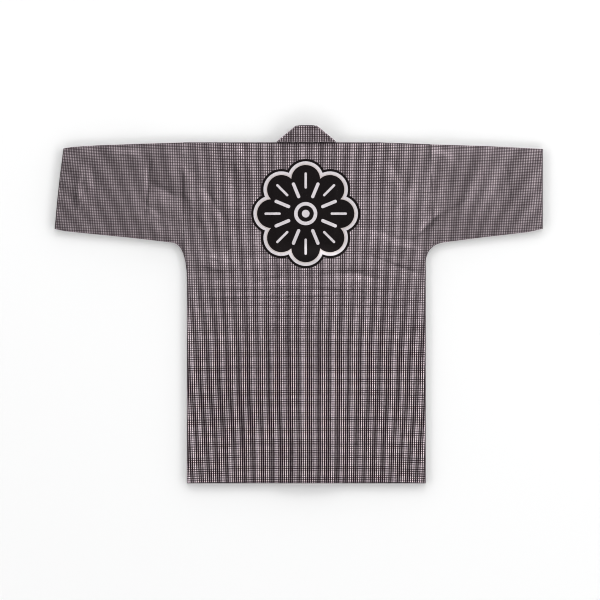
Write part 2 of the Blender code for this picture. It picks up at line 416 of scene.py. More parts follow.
RELIEF = Relief(
    folds=(
        Crease(-0.450, 0.131, -0.310, 0.201, 0.0045, 0.045),
        Crease(-0.245, 0.060, -0.198, 0.185, 0.0035, 0.045),
        Crease(-0.420, 0.030, -0.428, 0.215, 0.0030, 0.030),
        Crease(-0.540, 0.060, -0.520, 0.200, 0.0030, 0.050),
        Crease(-0.185, 0.365, -0.060, 0.300, 0.0035, 0.045),
        Crease(-0.080, 0.300, 0.130, 0.310, 0.0045, 0.045),
        Crease(0.130, 0.310, 0.290, 0.372, 0.0040, 0.038),
        Crease(0.120, 0.245, 0.308, 0.300, 0.0035, 0.032),
        Crease(0.236, 0.220, 0.340, 0.085, 0.0045, 0.045),
        Crease(0.459, 0.055, 0.472, 0.200, 0.0040, 0.045),
        Crease(-0.300, 0.405, 0.300, 0.400, 0.0025, 0.030),
        Crease(-0.050, 0.440, -0.045, 0.660, 0.0030, 0.055),
        Crease(0.065, 0.640, 0.080, 0.850, 0.0030, 0.050),
        Crease(-0.190, 0.500, -0.205, 0.640, 0.0025, 0.060),
    ),
    ridges=(
        Crease(-0.302, 0.105, -0.219, 0.235, 0.0052, 0.034),
        Crease(-0.464, 0.147, -0.335, 0.232, 0.0050, 0.036),
        Crease(-0.585, 0.030, -0.555, 0.200, 0.0050, 0.032),
        Crease(-0.185, 0.010, -0.155, 0.075, 0.0045, 0.028),
        Crease(-0.505, 0.025, -0.410, 0.048, 0.0030, 0.026),
        Crease(-0.350, 0.030, -0.325, 0.100, 0.0040, 0.030),
        Crease(-0.285, 0.290, -0.190, 0.314, 0.0030, 0.034),
        Crease(0.181, 0.050, 0.236, 0.142, 0.0030, 0.040),
        Crease(0.354, 0.125, 0.279, 0.218, 0.0058, 0.038),
        Crease(0.318, 0.014, 0.392, 0.068, 0.0040, 0.030),
        Crease(0.500, 0.040, 0.428, 0.199, 0.0062, 0.046),
        Crease(0.590, 0.060, 0.578, 0.180, 0.0018, 0.024),
        Crease(0.136, 0.236, 0.283, 0.277, 0.0024, 0.023),
        Crease(0.135, 0.284, 0.291, 0.330, 0.0034, 0.028),
        Crease(-0.280, 0.382, 0.000, 0.374, 0.0035, 0.030),
        Crease(0.020, 0.358, 0.240, 0.372, 0.0042, 0.032),
    ),
    creases=(
        Crease(-0.406, 0.105, -0.300, 0.150, -0.0017, 0.014),
        Crease(-0.300, 0.150, -0.243, 0.175, -0.0014, 0.012),
        Crease(-0.408, 0.030, -0.416, 0.215, -0.0020, 0.008),
        Crease(-0.330, 0.255, -0.372, 0.080, 0.0012, 0.011),
        Crease(-0.345, 0.245, -0.470, 0.120, 0.0010, 0.012),
        Crease(-0.500, 0.040, -0.490, 0.110, 0.0010, 0.010),
        Crease(-0.585, 0.050, -0.600, 0.190, -0.0014, 0.013),
        Crease(-0.330, 0.060, -0.300, 0.110, 0.0010, 0.012),
        Crease(-0.290, 0.290, -0.190, 0.320, 0.0015, 0.012),
        Crease(-0.280, 0.320, -0.210, 0.335, -0.0012, 0.009),
        Crease(-0.305, 0.404, 0.305, 0.398, -0.0017, 0.007),
        Crease(0.132, 0.280, 0.296, 0.339, -0.0019, 0.010),
        Crease(0.210, 0.262, 0.305, 0.283, 0.0012, 0.008),
        Crease(0.225, 0.330, 0.302, 0.352, 0.0010, 0.008),
        Crease(0.277, 0.255, 0.335, 0.195, -0.0015, 0.013),
        Crease(0.335, 0.195, 0.418, 0.150, -0.0015, 0.013),
        Crease(0.345, 0.240, 0.365, 0.070, 0.0014, 0.012),
        Crease(0.520, 0.060, 0.535, 0.195, -0.0012, 0.012),
        Crease(0.215, 0.065, 0.240, 0.130, 0.0012, 0.014),
        Crease(-0.120, 0.560, -0.128, 0.780, -0.0010, 0.016),
        Crease(0.010, 0.500, 0.018, 0.720, -0.0010, 0.015),
        Crease(0.160, 0.470, 0.172, 0.690, 0.0010, 0.018),
        Crease(0.245, 0.560, 0.238, 0.820, -0.0010, 0.016),
        Crease(-0.250, 0.640, -0.244, 0.830, 0.0010, 0.015),
        Crease(-0.300, 0.585, -0.150, 0.580, 0.0008, 0.010),
        Crease(0.080, 0.592, 0.295, 0.600, 0.0008, 0.010),
        Crease(-0.060, 0.795, 0.120, 0.805, -0.0007, 0.012),
    ),
    ripples=(
        Ripple(1.0, 31.0, 17.0, bend=1.7, bend_by_drop=23.0),
        Ripple(0.7, -29.0, 67.0, bend=1.9, bend_by_x=41.0),
        Ripple(0.5, 97.0, 0.0, bend=1.4, bend_by_x=19.0, bend_by_drop=53.0),
    ),
)


def steps_between(low: float, high: float, spacing: float) -> Array:
    """Even places from low to high, about the spacing apart."""
    return np.linspace(low, high, max(2, int(round((high - low) / spacing)) + 1))


def edged_steps(length: float, low: Sequence[float], high: Sequence[float], spacing: float) -> Array:
    """Places along a length, with places given near its two ends.

    Args:
        length: The whole length.
        low: Distances from the start, rising from 0.
        high: Distances from the end, rising from 0.
        spacing: Spacing of the even places between them.

    Returns:
        The places, rising from 0 to the length.
    """
    middle = steps_between(low[-1], length - high[-1], spacing)
    return np.concatenate([np.array(low[:-1]), middle, length - np.array(high[:-1])[::-1]])


def fit_steps(places: Array, nominal: float, actual: Array, zone: float) -> Array:
    """Places moved to an actual length, with those in the zone at each end kept as they are.

    Args:
        places: Places along the nominal length.
        nominal: Length that the places were made for.
        actual: Lengths to fit them to.
        zone: Width of the zone at each end.

    Returns:
        The places along each actual length.
    """
    inner = np.clip((places - zone) / (nominal - 2.0 * zone), 0.0, 1.0)
    outer = np.maximum(places - (nominal - zone), 0.0)
    return np.minimum(places, zone) + inner * (actual - 2.0 * zone) + outer


EDGE_PLACES = (0.0, 0.0003, 0.0008, 0.0015, 0.0024, 0.0040, 0.0065)
HEM_PLACES = EDGE_PLACES[:4] + (0.0030, 0.0070, 0.0110, 0.0135, 0.0142, 0.0150, 0.0158, 0.0166, 0.0190)
HEM_WIDTH = 0.0150
HEM_STEP = 0.0004
HEM_SOFT = 0.0008
EDGE_ROLL = 0.0022
SEAM_DIP = 0.00045
WEAR_AND_SHADE_WIDTH = 0.0040
STITCH_INSET = 0.0022
STITCH_SPACING = 0.0040


def edge_wear_and_shade(distance: Array) -> Array:
    """Share of worn edge and of painted edge shade at distances from the nearest edge."""
    return 1.0 - ease(distance / WEAR_AND_SHADE_WIDTH)


def rolled(distance: Array, depth: float) -> Array:
    """Depth by which an edge turns down, a quarter round over its roll."""
    inward = 1.0 - np.clip(distance / EDGE_ROLL, 0.0, 1.0)
    return depth * (1.0 - np.sqrt(1.0 - inward * inward))


def hem_rise(distance: Array) -> Array:
    """Height of a folded hem at distances from its edge."""
    step = 1.0 - ease((distance - HEM_WIDTH + HEM_SOFT) / (2.0 * HEM_SOFT))
    return HEM_STEP * step - rolled(distance, HEM_STEP)


@dataclass(frozen=True)
class LaidCheck:
    """How the check lies: eased wider over the shoulders and sleeves, where its lines also fan out."""

    width: float = 0.940
    width_by_drop: float = 0.070
    fan: float = -0.10
    fan_by_drop: float = 0.20
    upper_end: float = 0.475
    upper_length: float = 0.81
    upper_growth: float = 0.20
    bow: float = 0.05
    bow_by_drop: float = -0.10
    across_ripples: tuple[Ripple, ...] = (Ripple(0.0003, 5.0, 13.7), Ripple(0.0002, -9.0, 29.0))
    along_ripples: tuple[Ripple, ...] = (Ripple(0.0003, 16.0, 4.0, start=0.6), Ripple(0.0002, 37.0, -7.0))

    def at(self, x: Array, drop: Array) -> tuple[Array, Array]:
        """Place in the check at points of the laid coat.

        Args:
            x: Distances from the centre back.
            drop: Drops from the shoulder line.

        Returns:
            The places across the coat and down it.
        """
        across = x * (self.width + self.width_by_drop * drop) + x ** 3 * (self.fan + self.fan_by_drop * drop)
        upper = np.minimum(drop, self.upper_end)
        along = self.upper_length * upper + self.upper_growth * upper ** 2 + (drop - upper)
        along = along + x ** 2 * (self.bow + self.bow_by_drop * drop)
        across = across + sum(ripple.at(x, drop) for ripple in self.across_ripples)
        return across, along + sum(ripple.at(x, drop) for ripple in self.along_ripples)


CHECK = LaidCheck()


def linked(name: str, content: bpy.types.ID) -> bpy.types.Object:
    """New object of a mesh, lamp or camera, linked to the scene.

    Args:
        name: Name of the object.
        content: What it shows.

    Returns:
        The object.
    """
    thing = bpy.data.objects.new(name, content)
    bpy.context.scene.collection.objects.link(thing)
    return thing


@dataclass(frozen=True)
class SheetMaker:
    """Makes a piece of cloth from a grid of points."""

    name: str
    merge: float = 1e-6

    def make(
        self, points: tuple[Array, Array, Array], flat: tuple[Array, Array], wear_and_shade: Array
    ) -> bpy.types.Object:
        """Sheet with a thin wall, its flat pattern as UV map and its worn edge and painted edge shade as an
        attribute.

        Args:
            points: x, y and z of the points, each an array of columns by rows.
            flat: Place of each point on the flat cloth, as two arrays of columns by rows.
            wear_and_shade: Share of worn edge and painted edge shade at each point.

        Returns:
            The new object, linked to the scene.
        """
        columns, rows = points[0].shape
        shape = bmesh.new()
        bmesh.ops.create_grid(shape, x_segments=columns - 1, y_segments=rows - 1, size=0.5)
        mesh = bpy.data.meshes.new(self.name)
        shape.to_mesh(mesh)
        shape.free()
        start = np.zeros(len(mesh.vertices) * 3)
        mesh.vertices.foreach_get("co", start)
        start = start.reshape(-1, 3)
        column = np.rint((start[:, 0] + 0.5) * (columns - 1)).astype(int)
        row = np.rint((0.5 - start[:, 1]) * (rows - 1)).astype(int)
        places = np.stack([part[column, row] for part in points], axis=1)
        places[:, 0] += NECK_X
        places[:, 1] += NECK_Y
        mesh.vertices.foreach_set("co", places.ravel())
        corners = np.zeros(len(mesh.loops), dtype=int)
        mesh.loops.foreach_get("vertex_index", corners)
        layer = mesh.uv_layers.new(name=UV_NAME)
        pattern = np.stack([part[column, row] for part in flat], axis=1)[corners]
        layer.data.foreach_set("uv", pattern.ravel().astype(np.float32))
        attribute = mesh.attributes.new(EDGE_NAME, "FLOAT", "POINT")
        attribute.data.foreach_set("value", wear_and_shade[column, row].astype(np.float32))
        self.close_seams(mesh)
        piece = linked(self.name, mesh)
        wall = piece.modifiers.new("wall", "SOLIDIFY")
        wall.thickness = Cloth.SHELL
        wall.offset = 0.0
        wall.use_even_offset = True
        return piece

    def close_seams(self, mesh: bpy.types.Mesh) -> None:
        """Merge the points that meet at seams, and shade the faces smooth.

        Args:
            mesh: Mesh of the sheet, which is changed.
        """
        shape = bmesh.new()
        shape.from_mesh(mesh)
        bmesh.ops.remove_doubles(shape, verts=shape.verts, dist=self.merge)
        for face in shape.faces:
            face.smooth = True
        shape.to_mesh(mesh)
        shape.free()


class Term:
    """A shader socket that takes part in Python expressions."""

    def __init__(self, tree: "ShaderTree", socket: bpy.types.NodeSocket) -> None:
        """Wrap a socket of a tree."""
        self.tree = tree
        self.socket = socket

    def __add__(self, other: "Term | float") -> "Term":
        """Sum."""
        return self.tree.maths("ADD", self, other)

    def __sub__(self, other: "Term | float") -> "Term":
        """Difference."""
        return self.tree.maths("SUBTRACT", self, other)

    def __rsub__(self, other: float) -> "Term":
        """Difference from a number."""
        return self.tree.maths("SUBTRACT", other, self)

    def __mul__(self, other: "Term | float") -> "Term":
        """Product."""
        return self.tree.maths("MULTIPLY", self, other)

    def __truediv__(self, other: "Term | float") -> "Term":
        """Quotient."""
        return self.tree.maths("DIVIDE", self, other)

    def __pow__(self, other: float) -> "Term":
        """Power."""
        return self.tree.maths("POWER", self, other)

    __radd__ = __add__
    __rmul__ = __mul__

    def __abs__(self) -> "Term":
        """Size without sign."""
        return self.tree.maths("ABSOLUTE", self)

    def floor(self) -> "Term":
        """Whole number at or below."""
        return self.tree.maths("FLOOR", self)

    def sine(self) -> "Term":
        """Sine of an angle in radians."""
        return self.tree.maths("SINE", self)

    def cosine(self) -> "Term":
        """Cosine of an angle in radians."""
        return self.tree.maths("COSINE", self)

    def least(self, other: "Term | float") -> "Term":
        """Smaller of the two."""
        return self.tree.maths("MINIMUM", self, other)

    def most(self, other: "Term | float") -> "Term":
        """Larger of the two."""
        return self.tree.maths("MAXIMUM", self, other)

    def held(self) -> "Term":
        """Value held between 0 and 1."""
        return self.least(1.0).most(0.0)

    def under(self, limit: "Term | float", soft: float) -> "Term":
        """Mask that is 1 below a limit and 0 above it, with a soft edge."""
        return ((limit - self) / soft + 0.5).held()


class ShaderTree:
    """Node tree of a material or a world."""

    def __init__(self, owner: bpy.types.Material | bpy.types.World, shader: str = "Principled BSDF") -> None:
        """Open the tree of its owner, whose main shader has the given name.

        Args:
            owner: The material or world.
            shader: Name of its main shader's node.
        """
        owner.use_nodes = True
        self.owner = owner
        self.nodes = owner.node_tree.nodes
        self.links = owner.node_tree.links
        self.shader = self.nodes[shader]

    def join(self, socket: bpy.types.NodeSocket, value: object) -> None:
        """Link a term or a socket to a socket, or set its value.

        Args:
            socket: The socket.
            value: Term, socket or plain value.
        """
        if isinstance(value, Term):
            self.links.new(value.socket, socket)
        elif isinstance(value, bpy.types.NodeSocket):
            self.links.new(value, socket)
        else:
            socket.default_value = value

    def node(self, kind: str, settings: dict | None = None, inputs: dict | None = None) -> bpy.types.Node:
        """New node.

        Args:
            kind: Type of the node.
            settings: Properties of the node, which are set first.
            inputs: Values or links of its sockets, by name or number.

        Returns:
            The node.
        """
        new = self.nodes.new(kind)
        for key, value in (settings or {}).items():
            setattr(new, key, value)
        for key, value in (inputs or {}).items():
            self.join(new.inputs[key], value)
        return new

    def maths(self, operation: str, *values: "Term | float") -> Term:
        """Term of a Math node."""
        new = self.node("ShaderNodeMath", {"operation": operation}, dict(enumerate(values)))
        return Term(self, new.outputs[0])

    def parts(self, vector: bpy.types.NodeSocket) -> tuple[Term, Term, Term]:
        """The three values of a vector."""
        split = self.node("ShaderNodeSeparateXYZ", None, {"Vector": vector})
        return tuple(Term(self, split.outputs[axis]) for axis in "XYZ")

    def place(self, kind: str) -> tuple[Term, Term, Term]:
        """Coordinates of a kind, such as Object."""
        return self.parts(self.node("ShaderNodeTexCoord").outputs[kind])

    def cloth_place(self) -> tuple[Term, Term]:
        """Place on the flat cloth, along its width and its length."""
        return self.parts(self.node("ShaderNodeUVMap", {"uv_map": UV_NAME}).outputs["UV"])[:2]

    def laid_place(self) -> tuple[Term, Term]:
        """Place on the laid coat: x from the centre back, and drop."""
        x, y, _ = self.place("Object")
        return x - NECK_X, NECK_Y - y

    def noise(self, place: tuple[Term, Term], cells: Pair, detail: float = 2.0) -> Term:
        """Smooth noise from 0 to 1.

        Args:
            place: Place on the cloth or on the coat.
            cells: Cells to the metre along each part of the place.
            detail: Depth of the finer noise in it.

        Returns:
            The noise.
        """
        cell = {"X": place[0] * cells[0], "Y": place[1] * cells[1]}
        vector = self.node("ShaderNodeCombineXYZ", None, cell).outputs[0]
        inputs = {"Vector": vector, "Scale": 1.0, "Detail": detail, "Roughness": 0.5}
        return Term(self, self.node("ShaderNodeTexNoise", {"noise_dimensions": "2D"}, inputs).outputs["Fac"])

    def random(self, seed: Term) -> Term:
        """Random value from 0 to 1 for a whole number."""
        settings = {"noise_dimensions": "1D"}
        return Term(self, self.node("ShaderNodeTexWhiteNoise", settings, {"W": seed}).outputs["Value"])

    def blend(self, share: Term | float, first: object, second: object) -> bpy.types.NodeSocket:
        """Colour that lies the given share of the way from the first to the second.

        Args:
            share: Share of the second colour.
            first: Colour or socket at 0.
            second: Colour or socket at 1.

        Returns:
            The socket that holds the colour.
        """
        new = self.node("ShaderNodeMix", {"data_type": "RGBA"})
        ends = [socket for socket in new.inputs if socket.type == "RGBA"]
        for socket, value in zip([new.inputs[0], *ends], (share, first, second)):
            self.join(socket, value)
        return next(socket for socket in new.outputs if socket.type == "RGBA")

    def tinted(self, colour: object, factor: Term) -> bpy.types.NodeSocket:
        """Colour with each of its parts multiplied by a factor.

        Args:
            colour: Colour or socket.
            factor: The factor.

        Returns:
            The socket that holds the colour.
        """
        base = colour[:3] if isinstance(colour, tuple) else colour
        new = self.node("ShaderNodeVectorMath", {"operation": "SCALE"}, {0: base, "Scale": factor})
        return new.outputs["Vector"]

    def bumped(self, height: Term, strength: float, distance: float) -> bpy.types.NodeSocket:
        """Normal of a surface with small relief."""
        inputs = {"Height": height, "Strength": strength, "Distance": distance}
        return self.node("ShaderNodeBump", None, inputs).outputs["Normal"]

    def dress(self, piece: bpy.types.Object, inputs: dict[str, object]) -> None:
        """Give the material to a piece, with values or links for the sockets of its shader.

        Args:
            piece: The piece.
            inputs: Values or links, by the names of the sockets.
        """
        for key, value in inputs.items():
            self.join(self.shader.inputs[key], value)
        piece.data.materials.append(self.owner)


@dataclass(frozen=True)
class Zones:
    """A value low on the coat, high on its middle, and out along its sleeves, which blend softly."""

    LOW_START, LOW_RUN = 0.30, 0.25
    OUT_START, OUT_RUN = 0.18, 0.20

    low: float
    high: float
    outer: float

    def at(self, x: Term, drop: Term) -> Term:
        """Value at a place on the laid coat.

        Args:
            x: Distance from the centre back.
            drop: Drop from the shoulder line.

        Returns:
            The value.
        """
        lowness = ((drop - self.LOW_START) / self.LOW_RUN).held()
        outness = ((abs(x) - self.OUT_START) / self.OUT_RUN).held() * (1.0 - lowness)
        return self.high + (self.low - self.high) * lowness + (self.outer - self.high) * outness


@dataclass(frozen=True)
class CheckCotton:
    """Plain-woven cotton with a small check of dark yarns on a pale ground."""

    name: str = "check_cotton"
    across_pitch: float = 0.00545
    along_pitch: float = 0.00579
    across_share: Zones = Zones(0.634, 0.606, 0.640)
    along_share: Zones = Zones(0.430, 0.400, 0.450)
    across_depth: Zones = Zones(1.00, 0.88, 0.66)
    along_depth: Zones = Zones(0.90, 0.74, 0.56)
    lightness: Zones = Zones(1.00, 0.77, 0.485)
    streak_size: Zones = Zones(1.00, 0.75, 0.50)
    # Painted light: the upper coat is painted lighter to the right and darker to the left, fading out
    # downwards.
    painted_side_light: float = 0.057
    painted_light_reach: float = 0.35
    painted_light_drop: float = 0.40
    line_softness: float = 0.10
    across_streak: float = 0.12
    along_streak: float = 0.10
    tone_streak: float = 0.27
    streak_grid: float = 0.00705
    patchiness: float = 0.10
    patch_cells: Pair = (6.0, 5.0)
    mottle: float = 0.16
    mottle_cells: Pair = (150.0, 90.0)
    dye_base: float = 0.80
    blotch: float = 0.24
    blotch_cells: Pair = (14.0, 10.0)
    slub: float = 0.16
    slub_cells: Pair = (1500.0, 260.0)
    looseness: float = 0.16
    yarn_pitch: float = 0.00062
    weave_height: float = 0.00009
    weave_bump: float = 0.35
    weave_gloss: float = 0.10
    fuzz: float = 0.5
    fuzz_cells: Pair = (2400.0, 2400.0)
    fade: float = 0.35
    fade_gain: float = 1.2
    fade_loss: float = 0.25
    fade_cells: Pair = (90.0, 90.0)
    # Strength of the dark rim, a painted shade along the edges, folds and seams, and where it starts and runs
    # on the edge mask.
    rim: float = 0.96
    shade_rim_start: float = 0.50
    shade_rim_run: float = 0.30
    ground: Colour = (0.700, 0.589, 0.636, 1.0)
    yarn: Colour = (0.0115, 0.0055, 0.0080, 1.0)
    worn: Colour = (0.30, 0.25, 0.27, 1.0)
    # Colour of the painted shade along the rim.
    edge: Colour = (0.042, 0.034, 0.038, 1.0)
    roughness: float = 0.88
    sheen: float = 0.02
    sheen_roughness: float = 0.6
    specular: float = 0.06

    def line(self, tree: ShaderTree, place: Term, pitch: float, share: Term) -> Term:
        """Mask of one set of dark lines, whose weights differ a little from line to line.

        Args:
            tree: Tree of the material.
            place: Place across the lines in the check.
            pitch: Distance from line to line.
            share: Share of the pitch that a line takes.

        Returns:
            The mask, 1 on a line.
        """
        count = place / pitch
        number = count.floor()
        weight = 0.5 * (share + self.looseness * (tree.random(number) - 0.5))
        return abs(count - number - 0.5).under(weight, self.line_softness)

    def streak(self, place: Term, laid: Term, pitch: float) -> Term:
        """Soft streaks from -1 to 1 over groups of lines, which is how so fine a check reads from afar."""
        return ((place / pitch - laid / self.streak_grid) * (2.0 * math.pi)).sine()

    def weave(self, across: Term, along: Term) -> Term:
        """Height of the yarns that pass over and under each other, from 0 to 1."""
        turn = math.pi / self.yarn_pitch
        return (across * turn).sine() * (along * turn).sine() * 0.5 + 0.5

    def colour(self, tree: ShaderTree, across: Term, along: Term) -> bpy.types.NodeSocket:
        """Colour of the check with uneven dye and yarns, and a painted light that makes the upper coat
        lighter to the right and darker to the left.

        Args:
            tree: Tree of the material.
            across: Place across the flat cloth.
            along: Place along the flat cloth.

        Returns:
            The socket that holds the colour.
        """
        x, drop = tree.laid_place()
        patch = self.patchiness * (tree.noise((x, drop), self.patch_cells) - 0.5)
        patch = patch + self.mottle * (tree.noise((x, drop), self.mottle_cells) - 0.5)
        size = self.streak_size.at(x, drop)
        beside = self.streak(across, x, self.across_pitch) * size
        below = self.streak(along, drop, self.along_pitch) * size
        warp_share = self.across_share.at(x, drop) + patch + self.across_streak * beside
        weft_share = self.along_share.at(x, drop) + patch + self.along_streak * below
        warp = self.line(tree, across, self.across_pitch, warp_share) * self.across_depth.at(x, drop)
        weft = self.line(tree, along, self.along_pitch, weft_share) * self.along_depth.at(x, drop)
        dark = 1.0 - (1.0 - warp) * (1.0 - weft)
        blotch = self.blotch * tree.noise((across, along), self.blotch_cells, 3.0)
        slub = self.slub * tree.noise((across, along), self.slub_cells, 1.0)
        # Painted light: lighter to the right and darker to the left, strongest at the shoulder line and gone
        # lower down.
        to_lit_side = (x / self.painted_light_reach).least(1.0).most(-1.0)
        sided = self.painted_side_light * to_lit_side * ((self.painted_light_drop - drop).most(0.0) / self.painted_light_drop)
        tone = (self.lightness.at(x, drop) + sided) * (1.0 - self.tone_streak * beside)
        ground = tree.tinted(self.ground, (self.dye_base + blotch + slub) * tone)
        return tree.blend(dark, ground, self.yarn)

    def worn_and_shaded_colour(self, tree: ShaderTree, across: Term, along: Term) -> bpy.types.NodeSocket:
        """Colour of the check, with worn, faded patches near the edges and a dark rim of painted shade along
        the edges, folds and seams.

        Args:
            tree: Tree of the material.
            across: Place across the flat cloth.
            along: Place along the flat cloth.

        Returns:
            The socket that holds the colour.
        """
        wear_and_shade = Term(tree, tree.node("ShaderNodeAttribute", {"attribute_name": EDGE_NAME}).outputs["Fac"])
        patch = tree.noise((across, along), self.fade_cells)
        faded = (wear_and_shade * (patch * self.fade_gain - self.fade_loss)).held() * self.fade
        colour = tree.blend(faded, self.colour(tree, across, along), self.worn)
        # The dark rim is painted shade along the edges, folds and seams.
        rim = ((wear_and_shade - self.shade_rim_start) / self.shade_rim_run).held() * self.rim
        return tree.blend(rim, colour, self.edge)

    def dress(self, piece: bpy.types.Object) -> None:
        """Make the material and give it to a piece.

        Args:
            piece: The piece of cloth.
        """
        tree = ShaderTree(bpy.data.materials.new(self.name))
        across, along = tree.cloth_place()
        weave = self.weave(across, along)
        height = weave + self.fuzz * tree.noise((across, along), self.fuzz_cells)
        tree.dress(
            piece,
            {
                "Base Color": self.worn_and_shaded_colour(tree, across, along),
                "Roughness": self.roughness - self.weave_gloss * weave,
                "Normal": tree.bumped(height, self.weave_bump, self.weave_height),
                "Sheen Weight": self.sheen,
                "Sheen Roughness": self.sheen_roughness,
                "Specular IOR Level": self.specular,
            },
        )


@dataclass(frozen=True)
class CollarCotton(CheckCotton):
    """The check cotton of the collar, a little darker and with fainter streaks."""

    name: str = "collar_cotton"
    across_share: Zones = Zones(0.73, 0.73, 0.73)
    across_streak: float = 0.05
    tone_streak: float = 0.12


@dataclass(frozen=True)
class PrintedBack(CheckCotton):
    """The check cotton of the back, with a round flower badge printed on it."""

    name: str = "printed_back"
    badge_x: float = -0.0018
    badge_drop: float = 0.1855
    petals: int = 8
    petal_reach: float = 0.0890
    petal_radius: float = 0.0375
    ring: float = 0.0092
    tint: float = 0.0030
    badge_rim: float = 0.0064
    slit_start: float = 0.0480
    slit_end: float = 0.0830
    slit_width: float = 0.0085
    vein_start: float = 0.0680
    vein_end: float = 0.1040
    vein_width: float = 0.0062
    eye_outer: float = 0.0300
    eye_inner: float = 0.0210
    eye_dot: float = 0.0100
    softness: float = 0.0009
    bare: float = 0.10
    bare_cells: Pair = (1100.0, 1100.0)
    bare_limit: float = 0.26
    bare_soft: float = 0.05
    ink: Colour = (0.0052, 0.0032, 0.0036, 1.0)
    white: Colour = (0.640, 0.600, 0.625, 1.0)
    cream: Colour = (0.560, 0.500, 0.490, 1.0)

    def slot_mask(self, near: Term, far: Term, start: float, end: float, width: float) -> Term:
        """Mask of a slot with round ends that lies along a ray from the badge's centre.

        Args:
            near: Distance from the ray.
            far: Distance along the ray.
            start: Where the slot starts along the ray.
            end: Where the slot ends.
            width: Width of the slot.

        Returns:
            The mask, 1 in the slot.
        """
        past = (start - far).most(far - end).most(0.0)
        return ((near * near + past * past) ** 0.5).under(0.5 * width, self.softness)

    def badge(self, tree: ShaderTree, cloth: object) -> bpy.types.NodeSocket:
        """Cloth colour with the badge printed over it.

        Args:
            tree: Tree of the material.
            cloth: Colour of the cloth.

        Returns:
            The socket that holds the colour.
        """
        x, drop = tree.laid_place()
        x, y = x - self.badge_x, self.badge_drop - drop
        far = (x * x + y * y) ** 0.5
        angle = tree.maths("ARCTAN2", x, y)
        sector = 2.0 * math.pi / self.petals
        turned = (angle / sector + 0.5).floor() * sector
        local = abs(angle - turned)
        on_axis, off_axis = far * local.cosine(), far * local.sine()
        lobe = ((on_axis - self.petal_reach) ** 2.0 + off_axis * off_axis) ** 0.5 - self.petal_radius
        outside = lobe.least(far - self.petal_reach)
        gap = 0.5 * sector - local
        beside, ahead = far * gap.sine(), far * gap.cosine()
        slit = self.slot_mask(beside, ahead, self.slit_start, self.slit_end, self.slit_width)
        vein = self.slot_mask(off_axis, on_axis, self.vein_start, self.vein_end, self.vein_width)
        eye = far.under(self.eye_outer, self.softness) - far.under(self.eye_inner, self.softness)
        marks = slit.most(vein).most(eye).most(far.under(self.eye_dot, self.softness))
        body = outside.under(0.0, self.softness)
        ring = outside.under(self.ring, self.softness)
        rim = outside.under(self.ring + self.badge_rim, self.softness)
        colour = tree.blend(rim, cloth, self.ink)
        colour = tree.blend(ring, colour, self.white)
        colour = tree.blend(outside.under(self.tint, self.softness), colour, self.cream)
        colour = tree.blend(body, colour, self.ink)
        return tree.blend(marks * body, colour, self.white)

    def colour(self, tree: ShaderTree, across: Term, along: Term) -> bpy.types.NodeSocket:
        """Colour of the check with the badge over it, a little worn in the weave.

        Args:
            tree: Tree of the material.
            across: Place across the flat cloth.
            along: Place along the flat cloth.

        Returns:
            The socket that holds the colour.
        """
        cloth = super().colour(tree, across, along)
        printed = self.badge(tree, cloth)
        bare = tree.noise((across, along), self.bare_cells).under(self.bare_limit, self.bare_soft)
        return tree.blend(bare * self.bare, printed, cloth)


@dataclass(frozen=True)
class SewingThread:
    """Dark cotton thread with a twist, whose colour is painted lighter on the crests of the twist and darker
    in its grooves as shade.
    """

    name: str = "sewing_thread"
    colour: Colour = (0.045, 0.036, 0.040, 1.0)
    twist: float = 5200.0
    twist_height: float = 0.00008
    twist_bump: float = 0.5
    shade: float = 0.6
    roughness: float = 0.75
    gloss: float = 0.1

    def dress(self, piece: bpy.types.Object) -> None:
        """Make the material and give it to a piece.

        Args:
            piece: The row of stitches.
        """
        tree = ShaderTree(bpy.data.materials.new(self.name))
        x, y, _ = tree.place("Object")
        ply = ((x + y) * self.twist).sine() * 0.5 + 0.5
        tree.dress(
            piece,
            {
                # Painted shade: the colour is lighter on the crests of the twist and darker in its grooves.
                "Base Color": tree.tinted(self.colour, (1.0 - 0.5 * self.shade) + self.shade * ply),
                "Roughness": self.roughness - self.gloss * ply,
                "Normal": tree.bumped(ply, self.twist_bump, self.twist_height),
            },
        )


